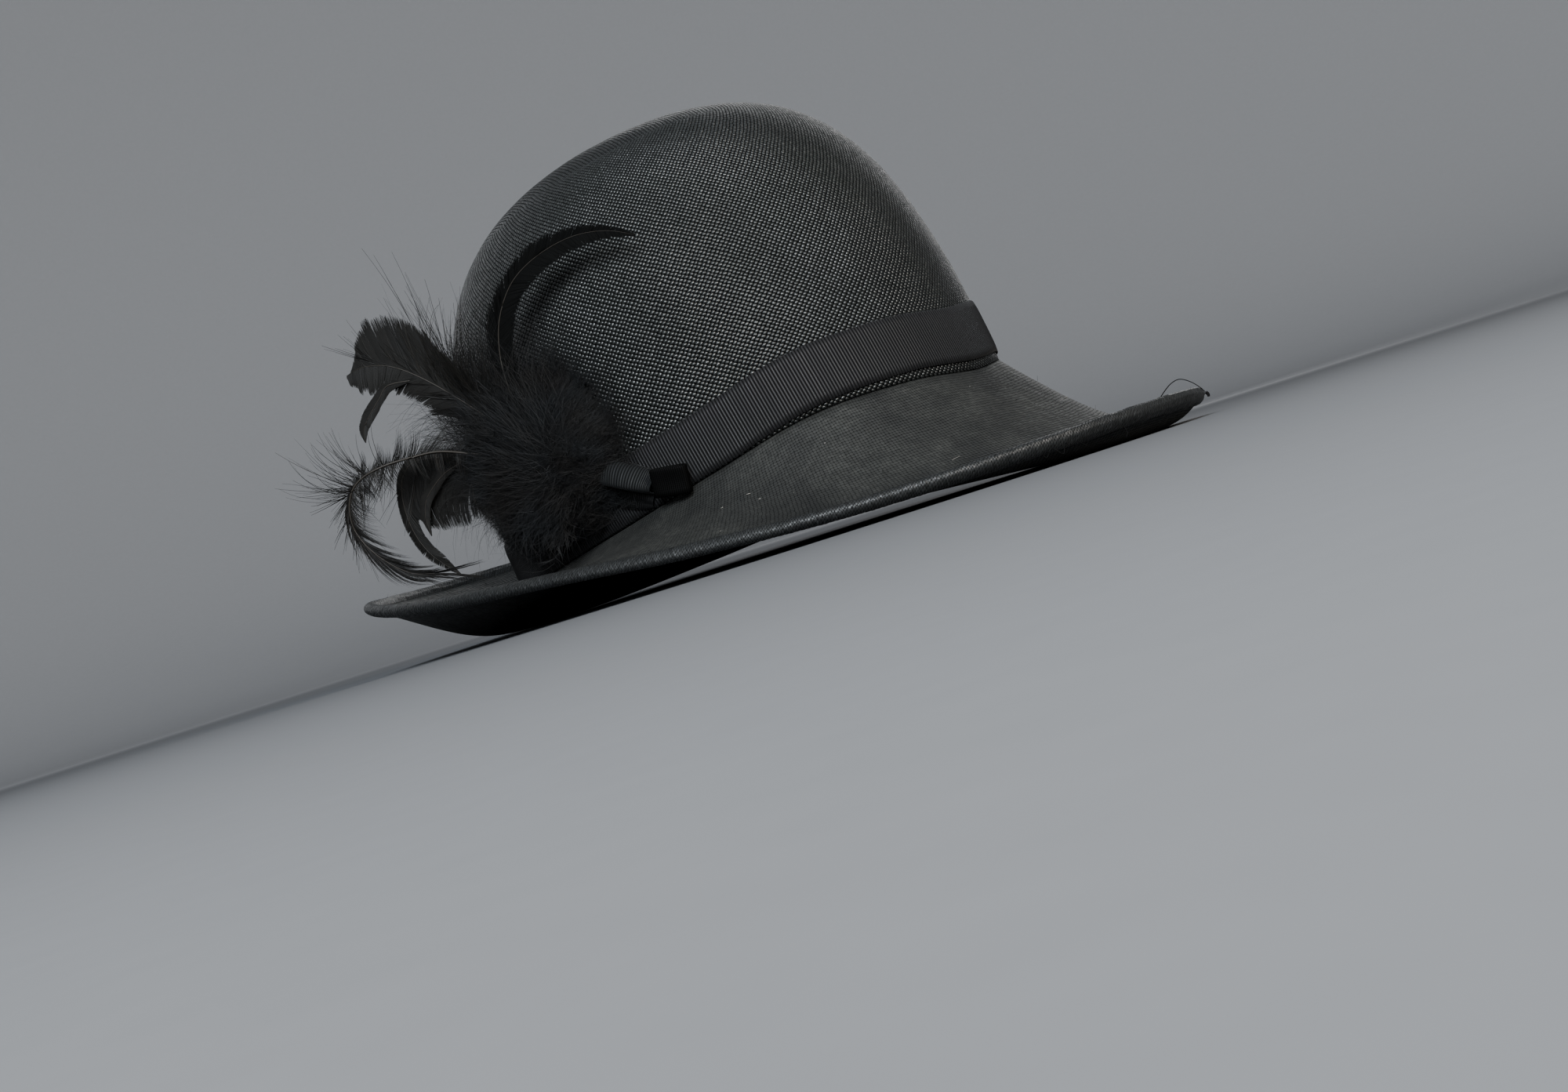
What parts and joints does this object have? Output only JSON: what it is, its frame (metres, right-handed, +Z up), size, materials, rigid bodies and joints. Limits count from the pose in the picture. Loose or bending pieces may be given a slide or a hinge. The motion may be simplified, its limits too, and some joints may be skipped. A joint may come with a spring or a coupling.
{
  "type": "straw hat",
  "caption": "Black woven straw hat with a domed crown, a brim turned down in front and up at the back, a ribbon band, a small bow and a spray of curled feathers.",
  "frame": {"origin": "centre of the overall box in X and Y, on the floor that the brim's edge rests on", "axes": "+Z up from the floor, -Y to the hat's front, +Y to its back, -X to the wearer's right, which is the side of the bow and the feathers; the crown's axis leans 9.1 degrees from +Z towards +Y"},
  "size_m": [0.2546, 0.3198, 0.1544],
  "materials": {
    "crown_straw": "black lacquered straw cloth in a fine basket weave, satin sheen on every strand",
    "brim_straw": "the same straw, pressed flatter and duller, with a rolled edge",
    "ribbon": "black ribbed ribbon, soft silk sheen",
    "bow_ribbon": "black ribbed ribbon",
    "feather": "black cock feathers, glossy quills and soft barbs",
    "down": "black down, matte"
  },
  "bodies": {
    "root": {"crown": "crown_straw", "brim": "brim_straw", "hat_band": "ribbon", "bow_back_loop": "bow_ribbon", "bow_front_loop": "bow_ribbon", "plume_fluff": "down", "sickle_feather": "feather", "upper_plume": "feather", "curled_tip": "feather", "curled_feather": "feather", "lower_plume": "feather", "pointed_tip": "feather"}
  },
  "joints": []
}
